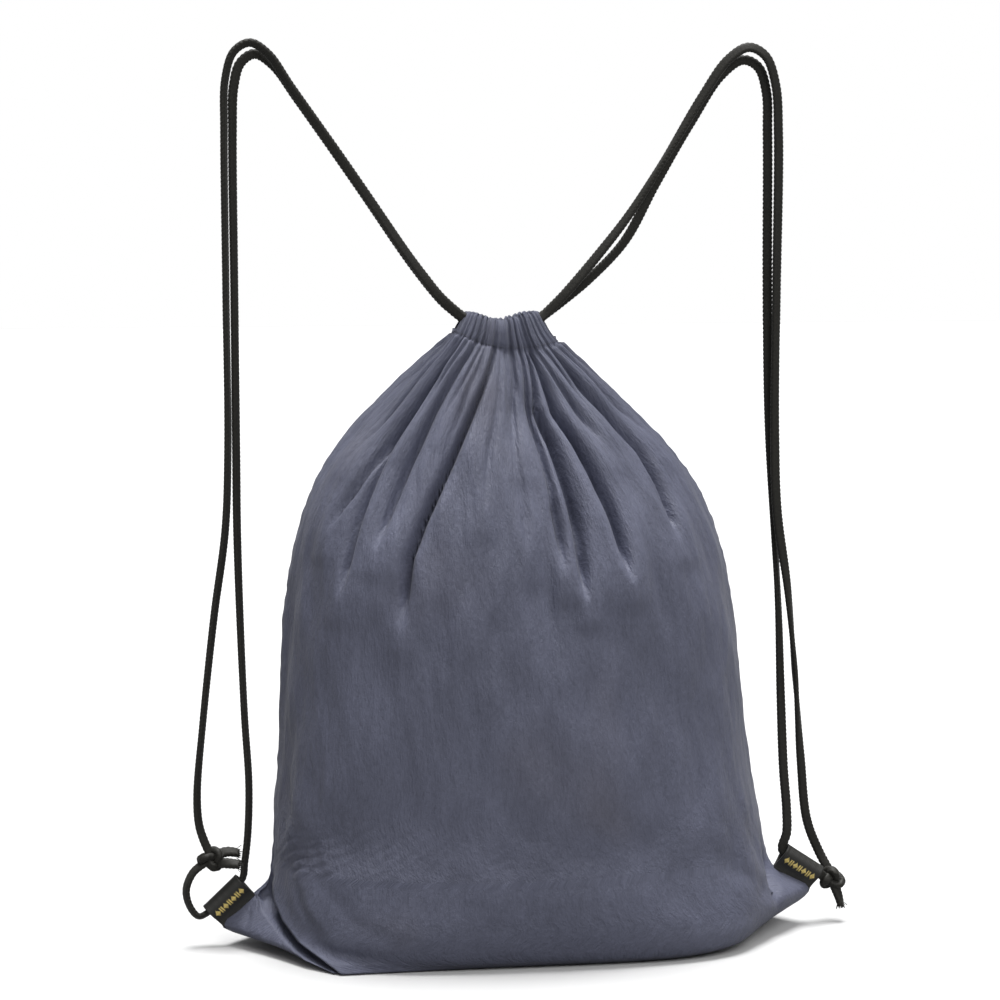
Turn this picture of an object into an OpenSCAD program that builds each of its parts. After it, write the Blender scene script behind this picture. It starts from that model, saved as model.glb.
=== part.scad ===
// Drawstring backpack: a gathered nylon bag, filled, with two cord shoulder straps.
// Millimetres, +Z up, the bag's front faces -Y, the origin is on the floor under the bag's middle.

/* [Bag] */
// Height of the filled bag without its casing
body_h = 350; // [330:1:370]
// Scale of the filled bag's outline in width
width_scale = 1; // [0.97:0.01:1.03]
// Scale of the filled bag's outline in depth
depth_scale = 1; // [0.9:0.01:1.08]
// Thickness that the nylon shell is given
shell_t = 2; // [1.6:0.1:2.4]

/* [Casing] */
// Height of the drawcord casing at the neck
casing_h = 18; // [17:0.5:20]
// Width of the gathered casing
casing_w = 38; // [36:1:40]
// Depth from the mouth's centre to the casing's inner face
mouth_half = 4; // [3.8:0.1:4.4]
// Depth of each casing, measured to the mean of its ruffle
casing_d = 9.5; // [9.4:0.1:10]
// Number of ruffle folds across each casing
ruffles = 9; // [7:1:11]
// Height of the ruffle folds
ruffle_depth = 0.8; // [0.4:0.1:1]

/* [Corner tabs] */
// Width of the webbing that each corner tab is folded from
tab_w = 26; // [24:0.5:28]
// Outer radius of the tab where it folds round the cord
tab_r = 4.6; // [4.4:0.1:4.8]
// Radius of the tunnel that the cord runs in
tunnel_r = 3.2; // [3.1:0.05:3.3]

/* [Cord] */
// Diameter of the round tubes that stand for the flat braid
cord_d = 5; // [4.4:0.1:5.2]
// Radius of the overhand knots
knot_r = 7; // [6.5:0.1:7.2]

/* [Hidden] */

nylon = "#565864";
thread = "#3f414c";
webbing = "#17171a";
gold = "#b08d3c";
braid = "#201f1b";

gap = 0.3;              // clearance left between neighbouring solids
base_t = 1.4;           // thickness of the fold that lies on the floor
sides = 8;              // sides of a cord's tube
arc_steps = 20;         // steps round the bulge of each panel
seam_half = 2.2;        // half thickness of the shell where front and back meet
seam_w = 8;             // width of the seam allowance inside the bag
seam_t = 1;             // thickness of the seam allowance
outline_h = 350;        // height that the outline's rows below are given at

// Outline of the filled bag: height, left edge, left bulge, half depth, right bulge, right edge, roundness.
// Between the bulge and the edge the two panels lie flat on each other, as they do in the ears.
// Roundness is 1 for an ellipse, and less where the contents push the corners of the base out.
OUTLINE = [
    [2, -108, -104, 60, 118, 122, 0.5],
    [6, -138, -124, 68, 134, 142, 0.52],
    [13, -175, -135, 74, 142, 160, 0.58],
    [22, -165.5, -139, 77, 145, 176, 0.66],
    [31, -156, -142, 79, 147, 162.5, 0.74],
    [36, -149, -143, 80, 147, 155, 0.78],
    [46, -146, -143, 81, 147, 150, 0.85],
    [62, -145, -143, 81, 145, 147, 0.93],
    [100, -142, -140, 81, 137, 139, 1],
    [150, -140, -138, 80, 131, 133, 1],
    [200, -137, -135, 77, 125, 127, 1],
    [235, -131, -129, 70, 117, 119, 1],
    [262, -123, -121, 62, 106, 108, 1],
    [287, -110, -108, 51, 89, 91, 1],
    [310, -90, -88, 38, 66, 68, 1],
    [330, -70, -68, 27, 47, 49, 1],
    [349.7, -42, -40, 14, 20, 22, 1]
];

casing_x = -10;                                    // middle of the neck
casing_z = body_h;                                 // underside of the casing
channel_y = mouth_half + casing_d / 2;             // middle of the cord channel
channel_d = cord_d + 0.6;                          // depth of the cord channel
upper_z = casing_z + casing_h / 2 + 3;             // height of the left cord in the casing
lower_z = casing_z + casing_h / 2 - 3;             // height of the right cord in the casing

// Corner tabs: middle of the edge they are sewn to, and the way they point.
LEFT_TAB = [-165.5, 22, 133.5];
RIGHT_TAB = [165.5, 29, 56.3];
tunnel_out = 10.5;                                 // from the sewn edge to the tunnel

// Routes of the cords' free stretches, from the neck over the strap's peak to the corner.
LEFT_OUTER = [
    [-47, -4, 374], [-64, -3, 400], [-97, -3, 448], [-130, -3, 495], [-143, -3, 514],
    [-153, -3, 520], [-162, -3, 515], [-167, -3, 500], [-168, -3, 470], [-168, -3, 380],
    [-168, -3, 290], [-170, -3, 245], [-177, -3, 195], [-184, -3, 135], [-188, -1, 90],
    [-187, 0, 72], [-184, 0, 62]
];
LEFT_INNER = [
    [-44, 4, 371], [-60, 3, 394], [-93, 3, 442], [-126, 3, 489], [-140, 3, 508],
    [-150, 3, 514], [-158, 3, 509], [-162, 3, 496], [-163, 3, 470], [-163, 3, 380],
    [-163, 3, 290], [-163, 3, 245], [-162, 3, 195], [-160, 2, 135], [-158, 1, 95],
    [-159, 0, 66], [-161, 0, 49]
];
RIGHT_OUTER = [
    [26, -4, 375], [46, -3, 401], [64, -3, 424], [84, -3, 455], [106, -3, 491],
    [121, -3, 512], [133, -3, 519], [143, -3, 514], [149, -3, 498], [151, -3, 470],
    [151, -3, 380], [151, -3, 300], [153, -3, 250], [160, -2, 205], [166, 0, 150],
    [171, 4, 100], [176, 7, 62], [184, 9, 42]
];
RIGHT_INNER = [
    [26, 4, 371], [42, 3, 387], [62, 3, 408], [80, 3, 441], [101, 3, 477],
    [118, 3, 503], [131, 3, 512], [140, 3, 508], [145, 3, 494], [146, 3, 470],
    [147, 3, 380], [149, 3, 300], [153, 4, 240], [156, 3, 190], [158, 3, 140],
    [160, 2, 95], [162, 1, 70], [162, 0, 56]
];
LEFT_KNOT = [-180, 0, 52];
RIGHT_KNOT = [191, 3, 26];
// The free ends of each cord leave the knot.
LEFT_TAILS = [[-176, -2, 51], [-170, -5, 52], [-163, -7, 51]];
RIGHT_TAILS = [[193, 2, 21], [195, 1, 15], [196, 0, 9]];

function lerp(a, b, t) = a + (b - a) * t;
// A cosine or sine raised to a power, with its sign kept.
function rounded(value, power) = sign(value) * pow(abs(value), power);

// ---- Bag ----

// One level of a front panel: its outer line from the left edge to the right edge, then its inner line back.
function panel_ring(row) =
    let (
        z = row[0] * body_h / outline_h,
        left = row[1] * width_scale,
        bulge_left = row[2] * width_scale,
        bulge_right = row[4] * width_scale,
        right = row[5] * width_scale,
        depth = row[3] * depth_scale,
        middle = (bulge_left + bulge_right) / 2,
        half = (bulge_right - bulge_left) / 2
    )
    concat(
        [[left, -seam_half / 2, z]],
        [for (i = [0:arc_steps])
            let (a = 180 - 180 * i / arc_steps)
            [middle + half * rounded(cos(a), row[6]), -seam_half - depth * rounded(sin(a), row[6]), z]],
        [[right, -seam_half / 2, z]],
        [[right, -gap / 2, z]],
        [for (i = [arc_steps:-1:0])
            let (a = 180 - 180 * i / arc_steps)
            [
                middle + (half - shell_t) * rounded(cos(a), row[6]),
                -gap / 2 - (depth - shell_t) * rounded(sin(a), row[6]),
                z
            ]],
        [[left, -gap / 2, z]]
    );

// A solid lofted through rings of equal length, whose ends are closed by strips between the
// first half of the ring and the second.
module loft_panel(rings) {
    n = len(rings[0]);
    last = len(rings) - 1;
    walls = [
        for (k = [0:last - 1], i = [0:n - 1])
            [k * n + i, (k + 1) * n + i, (k + 1) * n + (i + 1) % n, k * n + (i + 1) % n]
    ];
    foot = [for (i = [0:n / 2 - 2]) [i, i + 1, n - 2 - i, n - 1 - i]];
    head = [for (face = foot) [for (j = [3:-1:0]) face[j] + last * n]];
    polyhedron(points = [for (ring = rings) each ring], faces = concat(walls, foot, head), convexity = 6);
}

module front_panel() {
    color(nylon) loft_panel([for (row = OUTLINE) panel_ring(row)]);
}

module back_panel() {
    color(nylon) mirror([0, 1, 0]) loft_panel([for (row = OUTLINE) panel_ring(row)]);
}

// Where the front turns under to the back: the flat patch that the filled bag stands on.
module base_fold() {
    row = OUTLINE[0];
    middle = (row[2] + row[4]) / 2 * width_scale;
    half = (row[4] - row[2]) / 2 * width_scale;
    depth = row[3] * depth_scale;
    color(nylon) linear_extrude(base_t)
        polygon([
            for (a = [0:7.5:352.5])
                [middle + half * rounded(cos(a), row[6]), depth * rounded(sin(a), row[6])]
        ]);
}

// Seam allowance along one side, inside the bag; side is 2 for the left and 4 for the right.
module side_seam(side) {
    inward = side == 2 ? 1 : -1;
    rows = [for (row = OUTLINE) if (row[0] > 5 && row[0] < 340) row];
    wall = [for (row = rows)
        [row[side] * width_scale + inward * (shell_t + 2 * gap), row[0] * body_h / outline_h]];
    free = [for (i = [len(wall) - 1:-1:0]) wall[i] + [inward * seam_w, 0]];
    color(nylon) rotate([90, 0, 0]) translate([0, 0, -seam_t / 2])
        linear_extrude(seam_t) polygon(concat(wall, free));
}

module left_side_seam() { side_seam(2); }
module right_side_seam() { side_seam(4); }

// ---- Casing ----

// Depth of the ruffled front of a casing at a distance along it, from 0 to 1.
function ruffle(t) = mouth_half + casing_d - ruffle_depth * cos(360 * ruffles * t);

// The ruffled line of a casing, offset outwards by grow.
function ruffle_line(grow) = [
    for (i = [0:8 * ruffles])
        let (t = i / (8 * ruffles))
        [casing_x + casing_w * (t - 0.5), -ruffle(t) - grow]
];

module casing() {
    left = casing_x - casing_w / 2;
    right = casing_x + casing_w / 2;
    color(nylon) difference() {
        translate([0, 0, casing_z]) linear_extrude(casing_h)
            polygon(concat(ruffle_line(0), [[right, -mouth_half], [left, -mouth_half]]));
        // channel for the two cords, one above the other
        translate([casing_x, -channel_y, (upper_z + lower_z) / 2])
            cube([casing_w + 2, channel_d, upper_z - lower_z + channel_d], center = true);
    }
}

module casing_stitching() {
    inner = ruffle_line(gap);
    outer = ruffle_line(gap + 0.8);
    color(thread) translate([0, 0, casing_z + 1]) linear_extrude(1)
        polygon(concat(inner, [for (i = [len(outer) - 1:-1:0]) outer[i]]));
}

module front_casing() { casing(); }
module back_casing() { mirror([0, 1, 0]) casing(); }
module front_casing_stitching() { casing_stitching(); }
module back_casing_stitching() { mirror([0, 1, 0]) casing_stitching(); }

// ---- Corner tabs ----

// Moves to a tab's own axes: X along the sewn edge, Y out of the bag, Z towards the bag's front.
module at_tab(tab) {
    translate([tab[0] * width_scale, 0, tab[1] * body_h / outline_h])
        rotate([90, 0, 0]) rotate([0, 0, tab[2] - 90]) children();
}

// The point of a tab's tunnel at a distance along it from its middle.
function tunnel_point(tab, along) = [
    tab[0] * width_scale + tunnel_out * cos(tab[2]) + along * sin(tab[2]),
    0,
    tab[1] * body_h / outline_h + tunnel_out * sin(tab[2]) - along * cos(tab[2])
];

// Webbing folded round the cord, with its two ends together at the sewn edge.
module corner_tab(tab) {
    color(webbing) at_tab(tab) rotate([0, 90, 0]) translate([0, 0, -tab_w / 2])
        linear_extrude(tab_w) difference() {
            union() {
                translate([0, tunnel_out]) circle(r = tab_r, $fn = 40);
                polygon([
                    [-1.2, gap], [1.2, gap],
                    [tab_r * 0.9, tunnel_out - tab_r * 0.4], [-tab_r * 0.9, tunnel_out - tab_r * 0.4]
                ]);
            }
            translate([0, tunnel_out]) circle(r = tunnel_r, $fn = 40);
        }
}

// A plain woven motif on the tab's face: a diamond between two bars.
module tab_emblem(tab) {
    thick = 0.4;
    color(gold) at_tab(tab) translate([0, tunnel_out, tab_r + gap]) linear_extrude(thick) {
        polygon([[-3, 0], [0, 2.2], [3, 0], [0, -2.2]]);
        for (x = [-8, 8]) translate([x, 0]) square([6, 0.9], center = true);
    }
}

// Bar tack that closes the ear over the tab's ends, on the front of the bag.
module tab_stitching(tab) {
    color(thread) at_tab(tab) translate([0, -2.2, seam_half / 2 + 0.9])
        linear_extrude(0.6) square([tab_w - 4, 1.6], center = true);
}

module left_tab() { corner_tab(LEFT_TAB); }
module right_tab() { corner_tab(RIGHT_TAB); }
module left_tab_emblem() { tab_emblem(LEFT_TAB); }
module right_tab_emblem() { tab_emblem(RIGHT_TAB); }
module left_tab_stitching() { tab_stitching(LEFT_TAB); }
module right_tab_stitching() { tab_stitching(RIGHT_TAB); }

// ---- Cords ----

function unit(v) = v / norm(v);

// Direction of a route at point i.
function heading(route, i) =
    unit(route[min(i + 1, len(route) - 1)] - route[max(i - 1, 0)]);

// Ring of a tube round point i of a route.
function tube_ring(route, i) =
    let (
        along = heading(route, i),
        across = unit(cross(along, abs(along[1]) > 0.9 ? [1, 0, 0] : [0, 1, 0])),
        up = cross(along, across)
    )
    [for (k = [0:sides - 1])
        let (a = 360 * (k + 0.5) / sides)
        route[i] + cord_d / 2 * (cos(a) * across + sin(a) * up)];

// A plain tube along a route, with one ring at each of its points.
module cord(route) {
    last = len(route) - 1;
    color(braid) polyhedron(
        points = [for (i = [0:last]) each tube_ring(route, i)],
        faces = concat(
            [for (i = [0:last - 1], k = [0:sides - 1])
                [i * sides + k, i * sides + (k + 1) % sides,
                 (i + 1) * sides + (k + 1) % sides, (i + 1) * sides + k]],
            [[for (k = [sides - 1:-1:0]) k]],
            [[for (k = [0:sides - 1]) last * sides + k]]
        ),
        convexity = 6
    );
}

// A cord's stretch through the casing: in at one end of the neck along the front channel, round
// the other end, and back along the rear channel. side is -1 for the left cord, 1 for the right.
function casing_route(side, z) =
    let (
        near = casing_x + side * casing_w / 2,
        far = casing_x - side * casing_w / 2,
        rise = side < 0 ? 0 : 2,     // the right cord, the lower of the two, clears the left one's turn
        front = [
            [near + side * (10 + rise), -4, z + 9 + rise],
            [near + side * (8 + rise), -6, z + 4],
            [near + side * (3 + rise), -channel_y, z],
            [near, -channel_y, z],
            [far, -channel_y, z],
            [far - side * 3, -channel_y + 3, z],
            [far - side * 4.5, 0, z]
        ]
    )
    concat(front, [for (i = [len(front) - 2:-1:0]) [front[i][0], -front[i][1], front[i][2]]]);

module left_drawcord_in_casing() { cord(casing_route(-1, upper_z)); }
module right_drawcord_in_casing() { cord(casing_route(1, lower_z)); }

module left_strap_outer_run() { cord(LEFT_OUTER); }
module left_strap_inner_run() { cord(LEFT_INNER); }
module right_strap_outer_run() { cord(RIGHT_OUTER); }
module right_strap_inner_run() { cord(RIGHT_INNER); }

// The cord's stretch through the tab's tunnel and back to its knot.
module left_tab_loop() {
    cord([
        [-161, 0, 45.5], tunnel_point(LEFT_TAB, tab_w / 2 + 1), tunnel_point(LEFT_TAB, -tab_w / 2 - 1),
        [-188, 0, 18], [-193, 0, 24], [-195, 0, 34], [-191, 0, 44], [-185, 0, 49]
    ]);
}

module right_tab_loop() {
    cord([
        [162, 0, 52], tunnel_point(RIGHT_TAB, -tab_w / 2 - 1), tunnel_point(RIGHT_TAB, tab_w / 2 + 1),
        [186, 2, 27]
    ]);
}

module knot(centre) {
    color(braid) translate(centre) {
        sphere(r = knot_r, $fn = 32);
        rotate([90, 0, 0]) rotate_extrude($fn = 32)
            translate([knot_r - 1.2, 0]) circle(r = cord_d / 2, $fn = 16);
    }
}

module left_knot() { knot(LEFT_KNOT); }
module right_knot() { knot(RIGHT_KNOT); }
module left_cord_tails() { cord(LEFT_TAILS); }
module right_cord_tails() { cord(RIGHT_TAILS); }

front_panel();
back_panel();
base_fold();
left_side_seam();
right_side_seam();
front_casing();
back_casing();
front_casing_stitching();
back_casing_stitching();
left_tab();
right_tab();
left_tab_emblem();
right_tab_emblem();
left_tab_stitching();
right_tab_stitching();
left_drawcord_in_casing();
right_drawcord_in_casing();
left_strap_outer_run();
left_strap_inner_run();
right_strap_outer_run();
right_strap_inner_run();
left_tab_loop();
right_tab_loop();
left_knot();
right_knot();
left_cord_tails();
right_cord_tails();
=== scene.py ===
"""Drawstring backpack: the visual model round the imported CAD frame. Metres, +Z up, the front faces -Y."""

import math

import bpy
import numpy as np
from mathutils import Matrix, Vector


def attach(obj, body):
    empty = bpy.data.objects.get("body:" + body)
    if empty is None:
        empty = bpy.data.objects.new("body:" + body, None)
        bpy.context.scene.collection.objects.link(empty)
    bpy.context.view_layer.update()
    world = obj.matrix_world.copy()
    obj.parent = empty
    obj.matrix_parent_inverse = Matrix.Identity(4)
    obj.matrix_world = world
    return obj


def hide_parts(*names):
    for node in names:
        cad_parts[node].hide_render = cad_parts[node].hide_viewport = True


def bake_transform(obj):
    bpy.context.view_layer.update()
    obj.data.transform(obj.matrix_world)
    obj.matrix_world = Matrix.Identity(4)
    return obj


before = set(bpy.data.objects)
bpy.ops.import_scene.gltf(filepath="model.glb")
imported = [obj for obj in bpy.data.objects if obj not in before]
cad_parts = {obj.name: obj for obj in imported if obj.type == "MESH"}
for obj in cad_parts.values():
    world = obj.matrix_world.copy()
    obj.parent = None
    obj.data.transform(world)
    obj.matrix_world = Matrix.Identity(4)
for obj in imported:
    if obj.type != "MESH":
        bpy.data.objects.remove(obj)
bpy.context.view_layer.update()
MM = 0.001
SEED = 7


# ---- Camera and stage ----


TARGET = Vector((-0.011, 0, 0.259))  # the point the camera looks at
AZIMUTH, ELEVATION = 8, 7  # the camera's place in degrees, towards -X and above level
DISTANCE, SEEN_WIDTH = 1.6, 0.58  # how far away it is, and the width it sees at the target


def place(name, data, at, turn):
    """A new object with this data, at a point and turned by a quaternion."""
    obj = bpy.data.objects.new(name, data)
    bpy.context.collection.objects.link(obj)
    obj.location = at
    obj.rotation_mode = "QUATERNION"
    obj.rotation_quaternion = turn
    return obj


def make_camera():
    """A long lens a little above the bag and a little to its left."""
    a, e = math.radians(AZIMUTH), math.radians(ELEVATION)
    back = Vector((-math.sin(a) * math.cos(e), -math.cos(a) * math.cos(e), math.sin(e)))
    cam = bpy.data.cameras.new("camera")
    cam.sensor_width = 36
    cam.lens = cam.sensor_width * DISTANCE / SEEN_WIDTH
    cam.clip_start, cam.clip_end = 0.05, 50
    turn = (-back).to_track_quat("-Z", "Y")
    bpy.context.scene.camera = place("camera", cam, TARGET + back * DISTANCE, turn)


FLOOR_HALF = 6
# The floor and the backdrop are seen pale, and light the bag with less: strength as a light, and as seen.
FLOOR_TONE, BACKDROP_TONE = (0.22, 0.57), (0.27, 1.0)
# Lights: name, the way towards it, its softness as an angle in radians, and its power.
LIGHTS = [("key", (0.03, 0.08, 1.0), 0.5, 5.2), ("front", (0.30, -1.0, 1.0), 0.7, 1.6)]


def make_stage():
    """A pale floor that meets a white world, and soft studio light from above."""
    h = FLOOR_HALF
    floor = mesh_object("floor", [(-h, -h, 0), (h, -h, 0), (h, h, 0), (-h, h, 0)], [(0, 1, 2, 3)])
    nodes, links, shader = new_material("floor")
    set_values(shader, Roughness=0.9, Specular_IOR_Level=0.1)
    links.new(by_camera(nodes, links, *FLOOR_TONE), shader.inputs["Base Color"])
    floor.data.materials.append(bpy.data.materials["floor"])

    world = bpy.data.worlds.new("world")
    bpy.context.scene.world = world
    world.use_nodes = True
    tree = world.node_tree
    background = tree.nodes["Background"]
    background.inputs["Color"].default_value = (1, 1, 1, 1)
    tree.links.new(by_camera(tree.nodes, tree.links, *BACKDROP_TONE), background.inputs["Strength"])

    for name, at, softness, power in LIGHTS:
        lamp = bpy.data.lights.new(name, "SUN")
        lamp.energy = power
        lamp.angle = softness
        place(name, lamp, at, Vector(at).to_track_quat("Z", "Y"))
    bpy.context.scene.view_settings.view_transform = "Standard"


def by_camera(nodes, links, unseen, seen):
    """One value where the camera sees the surface itself, and another where it lights the rest."""
    path = nodes.new("ShaderNodeLightPath")
    return map_range(nodes, links, path.outputs["Is Camera Ray"], unseen, seen)


# ---- Mesh and material helpers ----


def mesh_object(name, points, faces, smooth=True):
    """A mesh object at the origin, linked to the scene."""
    mesh = bpy.data.meshes.new(name)
    mesh.from_pydata([tuple(p) for p in points], [], [tuple(f) for f in faces])
    mesh.update()
    mesh.polygons.foreach_set("use_smooth", [smooth] * len(mesh.polygons))
    obj = bpy.data.objects.new(name, mesh)
    bpy.context.collection.objects.link(obj)
    return obj


def tube_faces(rings, sides, first=0):
    """Faces of a closed tube whose rings of points follow each other from the point numbered first."""
    faces = []
    for i in range(rings - 1):
        a, b = first + i * sides, first + (i + 1) * sides
        for k in range(sides):
            m = (k + 1) % sides
            faces.append((a + k, a + m, b + m, b + k))
    faces.append(tuple(first + k for k in range(sides - 1, -1, -1)))
    faces.append(tuple(first + (rings - 1) * sides + k for k in range(sides)))
    return faces


def set_uv(obj, places):
    """Gives each point of a mesh its place on the flat cloth, in metres."""
    uv = obj.data.uv_layers.new(name="cloth")
    index = np.zeros(len(obj.data.loops), int)
    obj.data.loops.foreach_get("vertex_index", index)
    uv.data.foreach_set("uv", places[index].ravel())


def new_material(name):
    """A node material's nodes, links and Principled shader."""
    material = bpy.data.materials.new(name)
    material.use_nodes = True
    nodes, links = material.node_tree.nodes, material.node_tree.links
    return nodes, links, nodes["Principled BSDF"]


def set_values(shader, **values):
    """Sets the shader's own sockets; an underscore stands for a space in a socket's name."""
    for name, value in values.items():
        shader.inputs[name.replace("_", " ")].default_value = value


def map_range(nodes, links, value, low, high):
    """A value from 0 to 1, spread from low to high."""
    spread = nodes.new("ShaderNodeMapRange")
    spread.inputs["To Min"].default_value = low
    spread.inputs["To Max"].default_value = high
    links.new(value, spread.inputs["Value"])
    return spread.outputs["Result"]


def add_bump(nodes, links, shader, height, strength, distance):
    """Fine relief on a material; the distance is in millimetres."""
    bump = nodes.new("ShaderNodeBump")
    bump.inputs["Strength"].default_value = strength
    bump.inputs["Distance"].default_value = distance * MM
    links.new(height, bump.inputs["Height"])
    links.new(bump.outputs["Normal"], shader.inputs["Normal"])


def noise_of(nodes, links, coordinate, scale, detail, rough=0.55):
    """A noise texture over a stretched coordinate."""
    mapping = nodes.new("ShaderNodeMapping")
    mapping.inputs["Scale"].default_value = scale
    links.new(coordinate, mapping.inputs["Vector"])
    tex = nodes.new("ShaderNodeTexNoise")
    tex.inputs["Scale"].default_value = 1
    tex.inputs["Detail"].default_value = detail
    tex.inputs["Roughness"].default_value = rough
    links.new(mapping.outputs["Vector"], tex.inputs["Vector"])
    return tex.outputs["Fac"]


def weighted(nodes, links, *parts):
    """The sum of the parts, each an output and its weight."""
    total = None
    for output, weight in parts:
        step = nodes.new("ShaderNodeMath")
        step.operation = "MULTIPLY_ADD"
        links.new(output, step.inputs[0])
        step.inputs[1].default_value = weight
        if total is None:
            step.inputs[2].default_value = 0
        else:
            links.new(total, step.inputs[2])
        total = step.outputs[0]
    return total


def colour_ramp(nodes, links, value, stops):
    """A colour by value; stops are (place, colour)."""
    ramp = nodes.new("ShaderNodeValToRGB")
    while len(ramp.color_ramp.elements) < len(stops):
        ramp.color_ramp.elements.new(0.5)
    for element, (place, colour) in zip(ramp.color_ramp.elements, stops):
        element.position = place
        element.color = (*colour, 1)
    links.new(value, ramp.inputs["Fac"])
    return ramp.outputs["Color"]


def unit(v):
    """v with length 1, along its last axis."""
    return v / np.maximum(np.linalg.norm(v, axis=-1, keepdims=True), 1e-12)


def smoothstep(low, high, x):
    """0 before low and 1 after high, with an S-shaped rise between; low may be the larger."""
    t = np.clip((x - low) / (high - low), 0, 1)
    return t * t * (3 - 2 * t)


def running_mean(values, half):
    """Each value's mean with its neighbours, half of them either side."""
    window = np.ones(2 * half + 1) / (2 * half + 1)
    return np.convolve(np.pad(values, half, mode="edge"), window, mode="valid")


def distance_along(line, power=1):
    """The distance from the line's first point to each, every step raised to a power."""
    return np.concatenate([[0], np.cumsum(np.linalg.norm(np.diff(line, axis=0), axis=1) ** power)])


def between(t, low, high, a, b):
    """a where t is low and b where it is high, in proportion between and beyond."""
    return (high - t) / (high - low) * a + (t - low) / (high - low) * b


def smooth_line(points, step):
    """A smooth curve through the points, resampled evenly about step apart."""
    p = np.array(points, float)
    p = np.vstack([2 * p[0] - p[1], p, 2 * p[-1] - p[-2]])
    # centripetal spacing keeps the curve free of loops where points are close together
    knots = distance_along(p, 0.5)
    out = []
    for i in range(1, len(p) - 2):
        t0, t1, t2, t3 = knots[i - 1 : i + 3]
        t = np.linspace(t1, t2, 40, endpoint=False)[:, None]
        a1, a2, a3 = (
            between(t, knots[j], knots[j + 1], p[j], p[j + 1]) for j in (i - 1, i, i + 1)
        )
        b1, b2 = between(t, t0, t2, a1, a2), between(t, t1, t3, a2, a3)
        out.append(between(t, t1, t2, b1, b2))
    line = np.vstack(out + [p[-2:-1]])
    along = distance_along(line)
    at = np.linspace(0, along[-1], max(3, round(along[-1] / step)))
    return np.stack([np.interp(at, along, line[:, k]) for k in range(3)], axis=1)


def on_bag(obj, slot, *nodes):
    """Fixes a piece to the bag, in place of these CAD nodes if there are any. The slot is not used."""
    if nodes:
        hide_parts(*nodes)
    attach(obj, "bag")
    return obj


# ---- Cords ----

BRAID_W, BRAID_T = 5.6 * MM, 3.2 * MM  # width and thickness of the flat braid
BRAID_PITCH = 2.5 * MM  # length of one stitch of the herringbone
BRAID_SIDES = 18
CHEVRON = 1.5  # how many stitches the herringbone leans by, from the middle to the edge
STRAND_RISE, GROOVE_DEPTH, GROOVE_WIDTH = 0.20, 0.16, 0.16  # shares of the braid's own size
CORD_STEP = 0.55 * MM  # distance between a cord's rings

# Routes of the cords in millimetres: the neck, the strap's peak and the corner, as in the CAD.
LEFT_OUTER = [
    (-20, -7, 359), (-27, -5.8, 362), (-34, -3.4, 366.4), (-40, -3.4, 371.3),
    (-47, -3.8, 378), (-55, -3.4, 388), (-64, -3, 400), (-97, -3, 448), (-130, -3, 495), (-143, -3, 514),
    (-153, -3, 520), (-162, -3, 515), (-167, -3, 500), (-168, -3, 470), (-168, -3, 380),
    (-168, -3, 290), (-170, -3, 245), (-177, -3, 195), (-184, -3, 135), (-188, -1, 90),
    (-187, 0, 72), (-184, 0, 62), (-181, 0, 55),
]
LEFT_INNER = [
    (-20, 7, 359), (-27, 5.8, 361.5), (-33, 3.4, 365), (-38, 3.4, 369),
    (-44, 3.8, 374.3), (-60, 3, 394), (-93, 3, 442), (-126, 3, 489), (-140, 3, 508),
    (-150, 3, 514), (-158, 3, 509), (-162, 3, 496), (-163, 3, 470), (-163, 3, 380),
    (-163, 3, 290), (-163, 3, 245), (-162, 3, 195), (-160, 2, 135), (-158, 1, 95),
    (-159, 0, 66), (-161, 0, 49),
]
RIGHT_OUTER = [
    (0, -7, 357), (7, -5.4, 361), (14, -3.5, 366.2), (19.5, -3.5, 371.4),
    (26, -3.8, 378), (46, -3, 401), (64, -3, 424), (84, -3, 455), (106, -3, 491),
    (121, -3, 512), (133, -3, 519), (143, -3, 514), (149, -3, 498), (151, -3, 470),
    (151, -3, 380), (151, -3, 300), (153, -3, 250), (160, -2, 205), (166, 0, 150),
    (171, 4, 100), (176, 7, 62), (184, 9, 42), (190, 6, 30),
]
RIGHT_INNER = [
    (0, 7, 357), (7, 5.4, 360.5), (13, 3.5, 364.4), (19, 3.4, 368.6),
    (26, 3.8, 373.8), (42, 3, 387), (62, 3, 408), (80, 3, 441), (101, 3, 477),
    (118, 3, 503), (131, 3, 512), (140, 3, 508), (145, 3, 494), (146, 3, 470),
    (147, 3, 380), (149, 3, 300), (153, 4, 240), (156, 3, 190), (158, 3, 140),
    (160, 2, 95), (162, 1, 70), (162, 0, 56),
]
LEFT_LOOP_END = [(-188, 0, 18), (-193, 0, 24), (-195, 0, 34), (-191, 0, 44), (-185, 0, 49)]
RIGHT_LOOP_END = [(186, 2, 27)]
LEFT_TAILS = [
    [(-176, -2, 50), (-170, -4.5, 50), (-164, -6, 49.5)],
    [(-177, 1, 54), (-171, 1.5, 55.5), (-164.5, 2, 54.5)],
]
RIGHT_TAILS = [[(192, 2, 23), (194.5, 1, 16), (196, 0, 10)]]
LEFT_KNOT, RIGHT_KNOT = (-180, 0, 52), (191, 3, 26)

# Corner tabs, as in the CAD: middle of the sewn edge, and the angle at which they point.
LEFT_TAB, RIGHT_TAB = (-165.5, 22, 133.5), (165.5, 29, 56.3)
TAB_W, TUNNEL_OUT = 26, 10.5


def on_tab(tab, out, forward, along):
    """A point of a tab's own frame (millimetres out, forward and along its tunnel) in metres."""
    c, s = math.cos(math.radians(tab[2])), math.sin(math.radians(tab[2]))
    x, z = tab[0] + out * c + along * s, tab[1] + out * s - along * c
    return np.stack([x, -forward + 0 * out, z], axis=-1) * MM


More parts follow.
